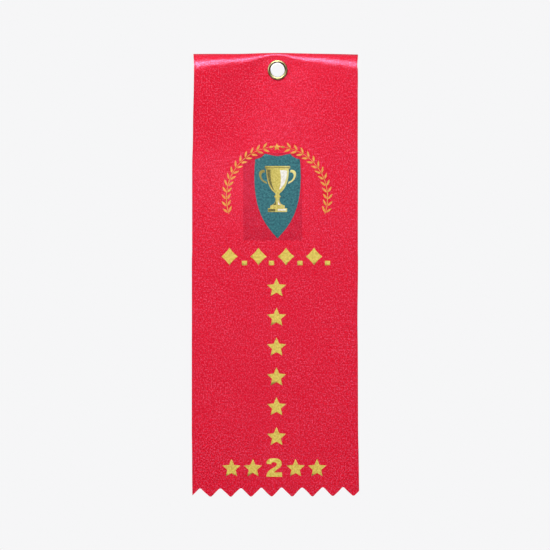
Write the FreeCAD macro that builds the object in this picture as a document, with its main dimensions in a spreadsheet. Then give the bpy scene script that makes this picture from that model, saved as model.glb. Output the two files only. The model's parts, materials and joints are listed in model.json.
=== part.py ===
# Flat award ribbon: one strip of satin cloth, folded back at the top and clinched by a brass eyelet.
#
# Frame: origin at the middle of the eyelet's bore, +Z up the ribbon, -Y the printed front, +Y the back.
# The strip is 50.8 mm (2 in) wide and 152.4 mm (6 in) long when flat. Its top 16.5 mm is turned to the back,
# and both ends of the strip are pinked. The eyelet sits 5.1 mm under the fold and pinches the two layers
# together, so the fold is tight in the middle and opens into a soft roll towards each side.
# The cloth is cut across at two bend lines, because each length of it is a rigid body; the gaps are the
# clearance that the lengths need to turn. The prints are thin transfer films on the front of the cloth.
import FreeCAD, Part
import Sketcher
import math
import os

V = FreeCAD.Vector
doc = FreeCAD.newDocument("award_ribbon")

# ---------------------------------------------------------------- driving dimensions (mm, degrees)
PARAMS = [
    ("ribbon_width", 50.8, "width of the satin strip, 2 in"),
    ("strip_length", 152.4, "length of the flat strip before it is folded, 6 in"),
    ("cloth_thick", 0.25, "thickness of one layer of satin"),
    ("layer_gap", 0.10, "space between the two layers where they are pinched"),
    ("centre_shift", -0.69, "ribbon's centre line, from the eyelet's axis"),
    ("fold_top", 5.10, "top of the fold above the eyelet's axis"),
    ("side_drop", 0.30, "how much lower the fold is at the sides"),
    ("tip_line", -130.95, "line through the sharp tips of the pinked end"),
    ("tooth_pitch", 6.216, "pitch of the pinked teeth"),
    ("tooth_round", 0.60, "radius at the tips and roots of the teeth"),
    ("tooth_phase", -1.26, "one tooth's tip, from the ribbon's centre line"),
    ("flap_end", -11.50, "lower end of the turned-back flap, in the middle"),
    ("upper_bend_line", -18.0, "height of the upper bend line"),
    ("lower_bend_line", -71.0, "height of the lower bend line"),
    ("bend_gap", 0.30, "clearance between two lengths of cloth at a bend line"),
    ("pinch_left", -4.60, "left edge of the pinched middle"),
    ("pinch_right", 3.20, "right edge of the pinched middle"),
    ("left_roll", 3.30, "fold radius added at the left side"),
    ("right_roll", 3.90, "fold radius added at the right side"),
    ("left_lean", 2.10, "how far the left side stands forward at the fold"),
    ("right_lean", 2.50, "how far the right side stands forward at the fold"),
    ("bore_radius", 2.15, "eyelet's bore"),
    ("brass_thick", 0.22, "eyelet's brass sheet"),
    ("barrel_half", 0.45, "half of the eyelet's straight bore"),
    ("rim_radius", 0.455, "section radius of the rolled front rim"),
    ("clinch_radius", 0.42, "section radius of the clinched back rim"),
    ("film_thick", 0.05, "thickness of one printed film"),
]
sheet = doc.addObject("Spreadsheet::Sheet", "Params")
for row, (alias, value, note) in enumerate(PARAMS, start=1):
    sheet.set("A%d" % row, alias)
    sheet.set("B%d" % row, "%.6g" % value)
    sheet.set("C%d" % row, note)
    sheet.setAlias("B%d" % row, alias)
doc.recompute()


def P(alias):
    """A driving dimension's number, read from the sheet."""
    return float(sheet.get(alias))


# Widths, heights and depths that follow from the driving dimensions, as cells of their own.
DERIVED = [
    ("front_face", "=-layer_gap / 2 - cloth_thick"),
    ("back_of_front", "=-layer_gap / 2"),
    ("left_side", "=centre_shift - ribbon_width / 2"),
    ("right_side", "=centre_shift + ribbon_width / 2"),
    ("head_low", "=upper_bend_line + bend_gap / 2"),
    ("panel_high", "=upper_bend_line - bend_gap / 2"),
    ("panel_low", "=lower_bend_line + bend_gap / 2"),
    ("tail_high", "=lower_bend_line - bend_gap / 2"),
    ("panel_length", "=panel_high - panel_low"),
    ("tail_length", "=tail_high - tip_line + 0.5"),
    ("barrel_radius", "=bore_radius + brass_thick"),
    ("cloth_hole", "=barrel_radius + 0.0"),
]
for row, (alias, formula) in enumerate(DERIVED, start=len(PARAMS) + 2):
    sheet.set("A%d" % row, alias)
    sheet.set("B%d" % row, formula)
    sheet.setAlias("B%d" % row, alias)
doc.recompute()


# ---------------------------------------------------------------- helpers
def body(name):
    made = doc.addObject("PartDesign::Body", name)
    made.Label = name
    return made


def plane(of, role):
    return [f for f in of.Origin.OriginFeatures if f.Role == role][0]


def sketch(of, name, role, offset=None):
    """A sketch on one of the body's own origin planes, moved along that plane's normal by offset."""
    made = of.newObject("Sketcher::SketchObject", name)
    made.AttachmentSupport = (plane(of, role), "")
    made.MapMode = "FlatFace"
    if offset is not None:
        made.AttachmentOffset = FreeCAD.Placement(V(0, 0, offset), FreeCAD.Rotation())
    return made


def lines(sk, points):
    """A closed run of straight lines, joined by coincidences. Returns the index of its first line."""
    first = sk.GeometryCount
    n = len(points)
    for i in range(n):
        a, b = points[i], points[(i + 1) % n]
        sk.addGeometry(Part.LineSegment(V(a[0], a[1], 0), V(b[0], b[1], 0)), False)
    for i in range(n):
        sk.addConstraint(Sketcher.Constraint("Coincident", first + i, 2, first + (i + 1) % n, 1))
    return first


def dimension(sk, kind, args, name, value, formula):
    """A named dimension of a sketch, bound to the sheet."""
    index = sk.addConstraint(Sketcher.Constraint(kind, *args, value))
    sk.renameConstraint(index, name)
    sk.setExpression("Constraints." + name, formula)


def rectangle(sk, x0, x1, z0, z1, fx, fz, fw, fh):
    """A rectangle held by its lower left corner, its width and its height, each bound to the sheet."""
    first = lines(sk, [(x0, z0), (x1, z0), (x1, z1), (x0, z1)])
    for i, way in enumerate(("Horizontal", "Vertical", "Horizontal", "Vertical")):
        sk.addConstraint(Sketcher.Constraint(way, first + i))
    dimension(sk, "DistanceX", (-1, 1, first, 1), "left", x0, fx)
    dimension(sk, "DistanceY", (-1, 1, first, 1), "low", z0, fz)
    dimension(sk, "DistanceX", (first, 1, first, 2), "wide", x1 - x0, fw)
    dimension(sk, "DistanceY", (first + 1, 1, first + 1, 2), "high", z1 - z0, fh)


def pad(of, sk, name, formula, towards_back):
    """A pad from the sketch's plane. The XZ plane's normal is -Y, so a pad to the back is reversed."""
    made = of.newObject("PartDesign::Pad", name)
    made.Profile = sk
    made.Type = "Length"
    made.setExpression("Length", formula)
    made.Reversed = towards_back
    return made


# ---------------------------------------------------------------- the roll of the fold, station by station
def opened(x):
    """(section radius of the fold's centre line, forward lean, drop of the fold's top) at a place across the ribbon.
    The fold is pinched flat round the eyelet, and opens sooner on the right than on the left."""
    tight = (P("layer_gap") + P("cloth_thick")) / 2
    if x < P("pinch_left"):
        share = (P("pinch_left") - x) / (P("pinch_left") - P("left_side"))
        return tight + P("left_roll") * share**1.35, P("left_lean") * share**1.3, P("side_drop") * share**1.6
    if x > P("pinch_right"):
        share = (x - P("pinch_right")) / (P("right_side") - P("pinch_right"))
        return tight + P("right_roll") * share, P("right_lean") * share**1.05, P("side_drop") * share**1.6
    return tight, 0.0, 0.0


def fold_section(x):
    """The cloth's section at x as (y, z) corners and arc middles: outer line up, over and down, inner line back."""
    half = P("cloth_thick") / 2
    front = P("front_face") + half
    base = P("head_low")
    radius, lean, drop = opened(x)
    top = P("fold_top") - drop
    centre_z = top - half - radius
    rise = centre_z - base
    # The front line's tilt a puts the start of the arc at -lean: it leaves (front, base) and ends tangent to the arc.
    a = math.atan2(lean, rise) if lean else 0.0
    for _ in range(20):
        rise = centre_z - radius * math.sin(a) - base
        a = math.atan2(lean, rise) if lean else 0.0
    start = (front - lean, centre_z - radius * math.sin(a))
    cy = start[0] + radius * math.cos(a)
    cz = centre_z
    back = math.radians(-5.0) * (radius / 4.0)
    end_of_arc = (cy + radius * math.cos(back), cz + radius * math.sin(back))
    # The cloth's length from the base to the flap's end is the same at every station.
    tight = (P("layer_gap") + P("cloth_thick")) / 2
    mid_centre = P("fold_top") - half - tight
    whole = (mid_centre - base) + math.pi * tight + (mid_centre - P("flap_end"))
    used = math.hypot(lean, start[1] - base) + radius * (math.pi + back - a)
    down = whole - used
    tail_dir = (math.sin(back), -math.cos(back))
    end = (end_of_arc[0] + tail_dir[0] * down, end_of_arc[1] + tail_dir[1] * down)

    def shifted(point, along, side):
        """A point moved square to the run's direction: side +1 is the outside of the fold."""
        return (point[0] - along[1] * side * half, point[1] + along[0] * side * half)

    up = (-math.sin(a), math.cos(a))
    down_dir = tail_dir
    middle = math.pi / 2
    centre = (cy, cz)

    def top_point(r):
        # halfway round the arc, from angle pi + a to back, going over the top
        angle = (math.pi + a + back) / 2
        return (centre[0] + r * math.cos(angle), centre[1] + r * math.sin(angle))

    outer = [shifted((front, base), (0.0, 1.0), 1), shifted(start, up, 1), top_point(radius + half),
             shifted(end_of_arc, down_dir, 1), shifted(end, down_dir, 1)]
    inner = [shifted(end, down_dir, -1), shifted(end_of_arc, down_dir, -1), top_point(radius - half),
             shifted(start, up, -1), shifted((front, base), (0.0, 1.0), -1)]
    return outer, inner


# ---------------------------------------------------------------- ribbon_head: folded top with its flap
head = body("ribbon_head")


def fold_sketch(name, x, formula=None):
    """The hairpin section of the folded cloth at a place across the ribbon."""
    sk = sketch(head, name, "YZ_Plane", x)
    if formula:
        sk.setExpression("AttachmentOffset.Base.z", formula)
    corners = [[V(y, z, 0) for y, z in run] for run in fold_section(x)]
    (o0, o1, om, o2, o3), (n3, n2, nm, n1, n0) = corners
    for g in (Part.LineSegment(o0, o1), Part.Arc(o1, om, o2), Part.LineSegment(o2, o3), Part.LineSegment(o3, n3),
              Part.LineSegment(n3, n2), Part.Arc(n2, nm, n1), Part.LineSegment(n1, n0), Part.LineSegment(n0, o0)):
        sk.addGeometry(g, False)
    return sk


# The pinched middle, where the two layers lie together, with the hole for the eyelet.
middle = fold_sketch("pinch_section", P("pinch_left"), "Params.pinch_left")
middle_pad = head.newObject("PartDesign::Pad", "pinch")
middle_pad.Profile = middle
middle_pad.Type = "Length"
middle_pad.setExpression("Length", "Params.pinch_right - Params.pinch_left")
hole = sketch(head, "eyelet_hole", "XZ_Plane")
hole.addGeometry(Part.Circle(V(0, 0, 0), V(0, 0, 1), P("cloth_hole")), False)
hole.addConstraint(Sketcher.Constraint("Coincident", 0, 3, -1, 1))
dimension(hole, "Radius", (0,), "hole_radius", P("cloth_hole"), "Params.cloth_hole")
doc.recompute()
hole_cut = head.newObject("PartDesign::Pocket", "hole_cut")
hole_cut.Profile = hole
hole_cut.Type = "Length"
hole_cut.Length = 4.0
hole_cut.Midplane = True
head.Tip = hole_cut
doc.recompute()
# Each side, where the fold opens from the pinch into a soft roll.
for side, stations in (("left", [P("left_side"), -21.5, -16.5, -11.5, -7.5, P("pinch_left")]),
                       ("right", [P("pinch_right"), 7.0, 11.0, 15.5, 20.0, P("right_side")])):
    sections = []
    for i, x in enumerate(stations):
        formula = {P("left_side"): "Params.left_side", P("right_side"): "Params.right_side",
                   P("pinch_left"): "Params.pinch_left", P("pinch_right"): "Params.pinch_right"}.get(x)
        sections.append(fold_sketch("%s_fold_%d" % (side, i), x, formula))
    doc.recompute()
    loft = head.newObject("PartDesign::AdditiveLoft", side + "_fold")
    loft.Profile = sections[0]
    loft.Sections = sections[1:]
    loft.Ruled = True
    loft.Refine = False
    head.Tip = loft
    doc.recompute()

# ---------------------------------------------------------------- ribbon_panel: the middle length of cloth
panel = body("ribbon_panel")
sk = sketch(panel, "panel_outline", "XZ_Plane")
# The sketch's second axis on the XZ plane is +Z; the plane is moved to the back of the front layer.
sk.AttachmentOffset = FreeCAD.Placement(V(0, 0, -P("back_of_front")), FreeCAD.Rotation())
sk.setExpression("AttachmentOffset.Base.z", "-Params.back_of_front")
rectangle(sk, P("left_side"), P("right_side"), P("panel_low"), P("panel_high"),
          "Params.left_side", "Params.panel_low", "Params.ribbon_width", "Params.panel_length")
panel.Tip = pad(panel, sk, "panel_cloth", "Params.cloth_thick", False)

# ---------------------------------------------------------------- ribbon_tail: the lower length with its pinked end
tail = body("ribbon_tail")
sk = sketch(tail, "tail_outline", "XZ_Plane")
sk.setExpression("AttachmentOffset.Base.z", "-Params.back_of_front")
rectangle(sk, P("left_side"), P("right_side"), P("tail_high") - P("tail_length"), P("tail_high"),
          "Params.left_side", "Params.tail_high - Params.tail_length", "Params.ribbon_width", "Params.tail_length")
tail_pad = pad(tail, sk, "tail_cloth", "Params.cloth_thick", False)
pitch = P("tooth_pitch")
first_root = P("centre_shift") + P("tooth_phase") + pitch / 2 - 5 * pitch
notch = sketch(tail, "tooth_notch", "XZ_Plane")
notch.setExpression("AttachmentOffset.Base.z", "-Params.back_of_front")
reach = pitch / 2 + 1.0
lines(notch, [(first_root - reach, P("tip_line") - 1.0), (first_root + reach, P("tip_line") - 1.0),
              (first_root, P("tip_line") + pitch / 2)])
notch.addConstraint(Sketcher.Constraint("Horizontal", 0))
notch.addConstraint(Sketcher.Constraint("Equal", 1, 2))
dimension(notch, "DistanceX", (-1, 1, 1, 2), "root_x", first_root,
          "Params.centre_shift + Params.tooth_phase - 4.5 * Params.tooth_pitch")
dimension(notch, "DistanceY", (-1, 1, 1, 2), "root_z", P("tip_line") + pitch / 2,
          "Params.tip_line + Params.tooth_pitch / 2")
dimension(notch, "DistanceX", (0, 1, 0, 2), "mouth", 2 * reach, "Params.tooth_pitch + 2")
dimension(notch, "DistanceY", (0, 1, 1, 2), "depth", pitch / 2 + 1.0, "Params.tooth_pitch / 2 + 1")
cut = tail.newObject("PartDesign::Pocket", "notch_cut")
cut.Profile = notch
cut.Type = "Length"
cut.Length = 2.0
cut.Midplane = True
doc.recompute()
teeth = tail.newObject("PartDesign::LinearPattern", "teeth")
teeth.Originals = [cut]
teeth.Direction = (plane(tail, "X_Axis"), [""])
teeth.Occurrences = 11
teeth.setExpression("Length", "10 * Params.tooth_pitch")
tail.Tip = teeth
doc.recompute()


def tooth_edges(shape):
    """The edges across the cloth at the teeth's tips and roots."""
    found = []
    for i, e in enumerate(shape.Edges, start=1):
        a, b = e.Vertexes[0].Point, e.Vertexes[-1].Point
        if abs(a.x - b.x) > 1e-6 or abs(a.z - b.z) > 1e-6 or abs(a.y - b.y) < 0.1:
            continue
        near_side = min(abs(a.x - P("left_side")), abs(a.x - P("right_side"))) < 1e-3
        at_tip, at_root = abs(a.z - P("tip_line")) < 1e-3, abs(a.z - P("tip_line") - pitch / 2) < 1e-3
        if (at_tip or at_root) and not near_side:
            found.append("Edge%d" % i)
    return found


names = tooth_edges(teeth.Shape)
rounded = tail.newObject("PartDesign::Fillet", "tooth_rounding")
rounded.Base = (teeth, names)
rounded.setExpression("Radius", "Params.tooth_round")
tail.Tip = rounded
doc.recompute()

# ---------------------------------------------------------------- eyelet: barrel, rolled front rim, clinched back rim
eyelet = body("eyelet")
sk = sketch(eyelet, "eyelet_section", "XY_Plane")
rb, ts, h = P("bore_radius"), P("brass_thick"), P("barrel_half")
ro, rk = P("rim_radius"), P("clinch_radius")
face_f, face_b = P("front_face"), -P("front_face")
cf, cb = rb + ro, rb + rk
pts = {
    "a": (rb, -h), "b": (rb + 2 * ro, -h), "c": (rb + 2 * ro, face_f), "d": (rb + 2 * ro - ts, face_f),
    "e": (rb + 2 * ro - ts, -h), "f": (rb + ts, -h), "g": (rb + ts, h), "i": (rb + 2 * rk - ts, h),
    "j": (rb + 2 * rk - ts, face_b), "k": (rb + 2 * rk, face_b), "l": (rb + 2 * rk, h), "m": (rb, h),
}
q = {key: V(x, y, 0) for key, (x, y) in pts.items()}
geo = [
    Part.Arc(q["a"], V(cf, -h - ro, 0), q["b"]),
    Part.LineSegment(q["b"], q["c"]),
    Part.LineSegment(q["c"], q["d"]),
    Part.LineSegment(q["d"], q["e"]),
    Part.Arc(q["e"], V(cf, -h - ro + ts, 0), q["f"]),
    Part.LineSegment(q["f"], q["g"]),
    Part.Arc(q["g"], V(cb, h + rk - ts, 0), q["i"]),
    Part.LineSegment(q["i"], q["j"]),
    Part.LineSegment(q["j"], q["k"]),
    Part.LineSegment(q["k"], q["l"]),
    Part.Arc(q["l"], V(cb, h + rk, 0), q["m"]),
    Part.LineSegment(q["m"], q["a"]),
]
for g in geo:
    sk.addGeometry(g, False)
dimension(sk, "Radius", (0,), "front_rim", ro, "Params.rim_radius")
dimension(sk, "Radius", (10,), "back_rim", rk, "Params.clinch_radius")
dimension(sk, "DistanceX", (-1, 1, 11, 1), "bore", rb, "Params.bore_radius")
dimension(sk, "DistanceY", (11, 1, 11, 2), "straight", -2 * h, "-2 * Params.barrel_half")
turned = eyelet.newObject("PartDesign::Revolution", "turned_sheet")
turned.Profile = sk
turned.ReferenceAxis = (sk, ["V_Axis"])
turned.Angle = 360.0
eyelet.Tip = turned
doc.recompute()

# ---------------------------------------------------------------- printed films
UNIT = 0.3062  # one unit of the grid that the prints are laid out on, in mm


def gx(value):
    """A place across the layout grid: 277.6 lies on the eyelet's axis."""
    return (value - 277.6) * UNIT


def gz(value):
    """A height on the layout grid, which counts downwards: 70 lies on the eyelet's axis."""
    return (70.0 - value) * UNIT


def star(cx, cz, size, inner=0.46):
    """A five-pointed star whose box is centred at (cx, cz), with its points size from its centre."""
    shift = size * (1 - math.cos(math.pi / 5)) / 2
    points = []
    for k in range(10):
        r = size if k % 2 == 0 else size * inner
        angle = math.pi / 2 + k * math.pi / 5
        points.append((cx + r * math.cos(angle), cz - shift + r * math.sin(angle)))
    return points


def diamond(cx, cz, wide, high, pull=0.10):
    """A lozenge whose sides curve in a little."""
    tips = [(wide / 2, 0), (0, high / 2), (-wide / 2, 0), (0, -high / 2)]
    points = []
    for k in range(4):
        a, b = tips[k], tips[(k + 1) % 4]
        for j in range(4):
            t = j / 4
            x, z = a[0] + (b[0] - a[0]) * t, a[1] + (b[1] - a[1]) * t
            f = 1 - pull * 4 * t * (1 - t)
            points.append((cx + x * f, cz + z * f))
    return points


def box(cx, cz, wide, high):
    return [(cx - wide / 2, cz - high / 2), (cx + wide / 2, cz - high / 2),
            (cx + wide / 2, cz + high / 2), (cx - wide / 2, cz + high / 2)]


def leaf(cx, cz, angle, length, wide):
    """A pointed leaf from its foot at (cx, cz), along angle."""
    points = []
    for j in range(7):
        t = j / 6
        w = wide / 2 * math.sin(math.pi * t**0.85)
        points.append((length * t, w))
    for j in range(5, 0, -1):
        t = j / 6
        w = wide / 2 * math.sin(math.pi * t**0.85)
        points.append((length * t, -w))
    c, s = math.cos(angle), math.sin(angle)
    return [(cx + x * c - z * s, cz + x * s + z * c) for x, z in points]


ARC_X, ARC_Z, ARC_R = gx(276.95), gz(197.4), 50.6 * UNIT


def spray(side):
    """One laurel spray of the wreath: a thin stem and pairs of leaves, from low at the side up to the top."""
    pieces = []
    low, high = math.radians(-19.0), math.radians(80.0)
    n = 40
    half = 0.5 * UNIT * 0.8
    outer, inner = [], []
    for k in range(n + 1):
        angle = low + (high - low) * k / n
        w = half * (1 - 0.6 * k / n)
        outer.append((ARC_R + w, angle))
        inner.append((ARC_R - w, angle))
    outline = outer + inner[::-1]
    pieces.append([(ARC_X + side * r * math.cos(b), ARC_Z + r * math.sin(b)) for r, b in outline])
    count = 13
    for k in range(count):
        at = low + (high - low) * (k + 0.25) / count
        heading = at + math.pi / 2
        for way in (1, -1):
            foot_r = ARC_R + way * (half + 0.09)
            angle = heading - way * math.radians(37)
            x0, z0 = foot_r * math.cos(at), foot_r * math.sin(at)
            made = leaf(0, 0, angle, 6.7 * UNIT, 2.05 * UNIT)
            pieces.append([(ARC_X + side * (x0 + x), ARC_Z + z0 + z) for x, z in made])
    tip = leaf(ARC_R * math.cos(high + 0.012), ARC_R * math.sin(high + 0.012), high + math.pi / 2, 5.0 * UNIT, 2.2 * UNIT)
    pieces.append([(ARC_X + side * x, ARC_Z + z) for x, z in tip])
    return pieces


def bezier(points, n):
    """n points of a cubic curve, without its end."""
    made = []
    for k in range(n):
        t = k / n
        u = 1 - t
        w = (u**3, 3 * u * u * t, 3 * u * t * t, t**3)
        made.append((sum(a * p[0] for a, p in zip(w, points)), sum(a * p[1] for a, p in zip(w, points))))
    return made


def mirrored(half_outline):
    """A closed outline from its right half, which runs from the top of the middle line to its bottom."""
    left = [(-x, z) for x, z in half_outline[::-1] if abs(x) > 1e-9]
    return half_outline + left


SH_X, SH_Z = gx(277.5), gz(196.2)


def shield():
    """A long kite shield with eared top corners."""
    half = (bezier([(0, 40.0), (6, 40.5), (10, 42.5), (13, 42.3)], 8)
            + bezier([(13, 42.3), (15, 39.0), (19, 37.5), (22.4, 37.0)], 8)
            + bezier([(22.4, 37.0), (24.2, 18.0), (24.0, -6.0), (14.0, -24.0)], 14)
            + bezier([(14.0, -24.0), (9.5, -32.0), (4.0, -38.0), (0, -42.3)], 10)
            + [(0, -42.3)])
    return [[(SH_X + x * UNIT, SH_Z + z * UNIT) for x, z in mirrored(half)]]


CUP_X, CUP_Z = gx(277.5), gz(190.0)


def cup_at(points):
    return [(CUP_X + x * UNIT, CUP_Z + z * UNIT) for x, z in points]


def bowl_half():
    """Right half of the trophy cup: lip, bowl, knop, stem and foot, in grid units from the cup's middle."""
    return (bezier([(0, 24.0), (5, 24.0), (9, 24.0), (12.6, 24.0)], 2)
            + [(12.6, 24.0), (12.6, 21.6)]
            + bezier([(11.4, 21.0), (11.2, 10.0), (8.6, 1.0), (2.3, -3.2)], 12)
            + bezier([(2.3, -3.2), (1.6, -4.4), (1.6, -5.2), (3.2, -6.0)], 4)
            + bezier([(3.2, -6.0), (3.6, -7.0), (2.2, -7.6), (1.9, -8.4)], 4)
            + bezier([(1.9, -8.4), (1.9, -12.5), (3.4, -14.6), (7.2, -15.6)], 8)
            + [(7.2, -15.6), (7.2, -18.2), (9.6, -18.2), (9.6, -22.0), (0, -22.0)])


def handle(side):
    """One ear of the cup, a band that leaves under the lip and comes back to the bowl's flank."""
    outer = bezier([(12.3, 20.0), (20.5, 21.5), (19.5, 9.0), (9.6, 6.2)], 16) + [(9.6, 6.2)]
    inner = bezier([(10.35, 8.2), (16.6, 10.0), (17.0, 18.3), (11.9, 17.6)], 16) + [(11.9, 17.6)]
    return [(side * x, z) for x, z in outer + inner]


def cup():
    """The cup's gold film: body and two handles, which meet the body without overlapping it."""
    return [cup_at(mirrored(bowl_half())), cup_at(handle_clear(1)), cup_at(handle_clear(-1))]


def handle_clear(side):
    """The ear, kept a hair clear of the bowl so that the films lie side by side."""
    return [(side * (x * side + 0.75), z) for x, z in handle(side)]


def cup_light():
    """The pale patches that model the cup's highlights."""
    a = bezier([(2.5, 19.8), (7.5, 19.8), (9.6, 19.5), (9.7, 18.6)], 6) \
        + bezier([(9.7, 18.6), (9.2, 10.0), (6.6, 3.5), (1.6, 0.2)], 10) \
        + bezier([(1.6, 0.2), (3.6, 5.5), (4.2, 12.0), (2.5, 19.8)], 8)
    b = bezier([(0.3, -19.0), (3.0, -19.0), (6.0, -19.0), (8.4, -19.0)], 3) + [(8.4, -19.0), (8.4, -20.6), (0.3, -20.6)]
    c = bezier([(0.5, -9.5), (0.7, -12.0), (1.8, -14.0), (3.4, -15.0)], 5) + [(3.4, -15.0), (0.5, -15.0)]
    return [cup_at(a), cup_at(b), cup_at(c)]


def cup_shade():
    """The dark patches that model the cup's shaded side."""
    a = bezier([(-10.3, 20.3), (-10.2, 10.5), (-7.6, 2.6), (-2.2, -1.9)], 10) \
        + bezier([(-2.2, -1.9), (-5.6, 3.5), (-7.2, 11.0), (-7.0, 20.3)], 8) + [(-7.0, 20.3)]
    b = [(-12.2, 22.6), (12.2, 22.6), (12.2, 22.0), (-12.2, 22.0)]
    c = [(-9.2, -19.0), (-2.2, -19.0), (-2.2, -21.4), (-9.2, -21.4)]
    d = bezier([(-1.3, -8.8), (-1.5, -11.5), (-2.6, -13.8), (-5.0, -15.2)], 6) + [(-5.0, -15.2), (-1.3, -15.2)]
    return [cup_at(a), cup_at(b), cup_at(c), cup_at(d)]


def numeral_two(cx, cz, wide, high):
    """A heavy upright figure 2 in a box wide by high, made of one outline."""
    w, h = wide / 2, high / 2
    outer = (bezier([(-w, 0.42 * h), (-w, 1.05 * h), (-0.35 * w, h), (0.05 * w, h)], 8)
             + bezier([(0.05 * w, h), (0.72 * w, h), (0.96 * w, 0.75 * h), (0.96 * w, 0.42 * h)], 8)
             + bezier([(0.96 * w, 0.42 * h), (0.96 * w, -0.02 * h), (0.30 * w, -0.12 * h), (-0.02 * w, -0.52 * h)], 10)
             + [(-0.02 * w, -0.52 * h), (w, -0.52 * h), (w, -h), (-w, -h)]
             + bezier([(-w, -0.86 * h), (-0.90 * w, -0.10 * h), (0.34 * w, -0.02 * h), (0.34 * w, 0.36 * h)], 10)
             + bezier([(0.34 * w, 0.36 * h), (0.34 * w, 0.62 * h), (-0.36 * w, 0.70 * h), (-0.38 * w, 0.36 * h)], 8)
             + [(-0.38 * w, 0.36 * h)])
    return [(cx + x, cz + z) for x, z in outer]


def title_row():
    made = [diamond(gx(x), gz(256.5), 16.5 * UNIT, 17.5 * UNIT) for x in (229.5, 258.5, 286.0, 314.0)]
    made += [box(gx(x), gz(263.0), 5.2 * UNIT, 4.4 * UNIT) for x in (244.5, 271.5, 300.0, 327.5)]
    return made


def place_row():
    made = [star(gx(x), gz(467.5), 9.6 * UNIT) for x in (231.5, 252.9, 295.6, 317.0)]
    return made + [numeral_two(gx(274.2), gz(467.5), 15.5 * UNIT, 18.5 * UNIT)]


def wreath_star():
    return [star(gx(276.95), gz(146.8), 3.9 * UNIT)]


FILMS = [
    ("print_laurel_left", spray(-1), 0),
    ("print_laurel_right", spray(1), 0),
    ("print_wreath_star", wreath_star(), 0),
    ("print_shield", shield(), 0),
    ("print_cup", cup(), 1),
    ("print_cup_light", cup_light(), 2),
    ("print_cup_shade", cup_shade(), 2),
    ("print_title_row", title_row(), 0),
    ("print_star_first", [star(gx(276.5), gz(287.0), 10.0 * UNIT)], 0),
    ("print_star_column", [star(gx(276.5), gz(z), 10.0 * UNIT) for z in (316.7, 346.5, 376.4, 406.2, 436.0)], 0),
    ("print_place_row", place_row(), 0),
]
film_bodies = []
for name, outlines, level in FILMS:
    of = body(name)
    of.AllowCompound = True
    sk = sketch(of, name + "_outline", "XZ_Plane", -P("front_face") + level * P("film_thick"))
    sk.setExpression("AttachmentOffset.Base.z", "-Params.front_face + %d * Params.film_thick" % level)
    geometry = []
    for outline in outlines:
        clean = []
        for point in outline:
            if not clean or math.dist(point, clean[-1]) > 0.004:
                clean.append(point)
        if math.dist(clean[0], clean[-1]) <= 0.004:
            clean.pop()
        n = len(clean)
        for i in range(n):
            a, b = clean[i], clean[(i + 1) % n]
            geometry.append(Part.LineSegment(V(a[0], a[1], 0), V(b[0], b[1], 0)))
    sk.addGeometry(geometry, False)
    of.Tip = pad(of, sk, name + "_film", "Params.film_thick", False)
    film_bodies.append(of)
doc.recompute()

# ---------------------------------------------------------------- checks and export
ORDER = [head, panel, tail, eyelet] + film_bodies
for obj in doc.Objects:
    bad = [s for s in obj.State if s in ("Invalid", "Error")]
    if bad:
        raise RuntimeError("%s is %s" % (obj.Name, bad))

os.makedirs("parts", exist_ok=True)
for of in ORDER:
    shape = of.Shape
    if shape.isNull() or not shape.isValid() or not shape.Solids:
        raise RuntimeError("%s has no valid solid" % of.Label)
    for s in shape.Solids:
        if s.Volume <= 0 or not s.isClosed():
            raise RuntimeError("%s holds an open or inside-out solid" % of.Label)
    b = shape.BoundBox
    print("%-20s solids %2d  volume %9.3f  x %8.3f %8.3f  y %7.3f %7.3f  z %8.3f %8.3f"
          % (of.Label, len(shape.Solids), shape.Volume, b.XMin, b.XMax, b.YMin, b.YMax, b.ZMin, b.ZMax))
    out = shape if len(shape.Solids) > 1 else shape.Solids[0]
    out.exportStep("parts/%s.step" % of.Label)
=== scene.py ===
import json
import math

import bmesh
import bpy
import numpy as np
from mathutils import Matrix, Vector


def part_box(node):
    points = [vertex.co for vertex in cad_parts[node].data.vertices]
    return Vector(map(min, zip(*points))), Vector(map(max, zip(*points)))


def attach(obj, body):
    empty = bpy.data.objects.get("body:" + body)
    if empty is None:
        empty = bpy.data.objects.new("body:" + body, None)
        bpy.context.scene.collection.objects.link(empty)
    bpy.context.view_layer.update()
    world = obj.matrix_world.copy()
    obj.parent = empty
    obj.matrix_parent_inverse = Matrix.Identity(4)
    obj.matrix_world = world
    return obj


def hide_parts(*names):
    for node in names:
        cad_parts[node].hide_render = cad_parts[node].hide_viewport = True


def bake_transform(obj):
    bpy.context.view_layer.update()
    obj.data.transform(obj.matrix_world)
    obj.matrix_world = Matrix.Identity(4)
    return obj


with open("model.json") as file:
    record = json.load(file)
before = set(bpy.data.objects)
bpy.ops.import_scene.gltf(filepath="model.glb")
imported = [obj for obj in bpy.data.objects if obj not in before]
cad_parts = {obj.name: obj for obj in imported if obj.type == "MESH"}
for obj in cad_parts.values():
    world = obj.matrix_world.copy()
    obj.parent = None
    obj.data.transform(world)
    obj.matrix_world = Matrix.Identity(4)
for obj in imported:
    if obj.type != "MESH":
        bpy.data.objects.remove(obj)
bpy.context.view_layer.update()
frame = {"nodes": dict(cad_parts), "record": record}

MM = 0.001


# ------------------------------------------------------------------ numbers from the frame, in mm
def mm_box(node):
    low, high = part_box(node)
    return np.array(low) * 1000, np.array(high) * 1000


head_low, head_high = mm_box("ribbon_head")
panel_low, panel_high = mm_box("ribbon_panel")
tail_low, tail_high = mm_box("ribbon_tail")
eye_low, eye_high = mm_box("eyelet")
shield_low, shield_high = mm_box("print_shield")
title_low, title_high = mm_box("print_title_row")

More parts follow.
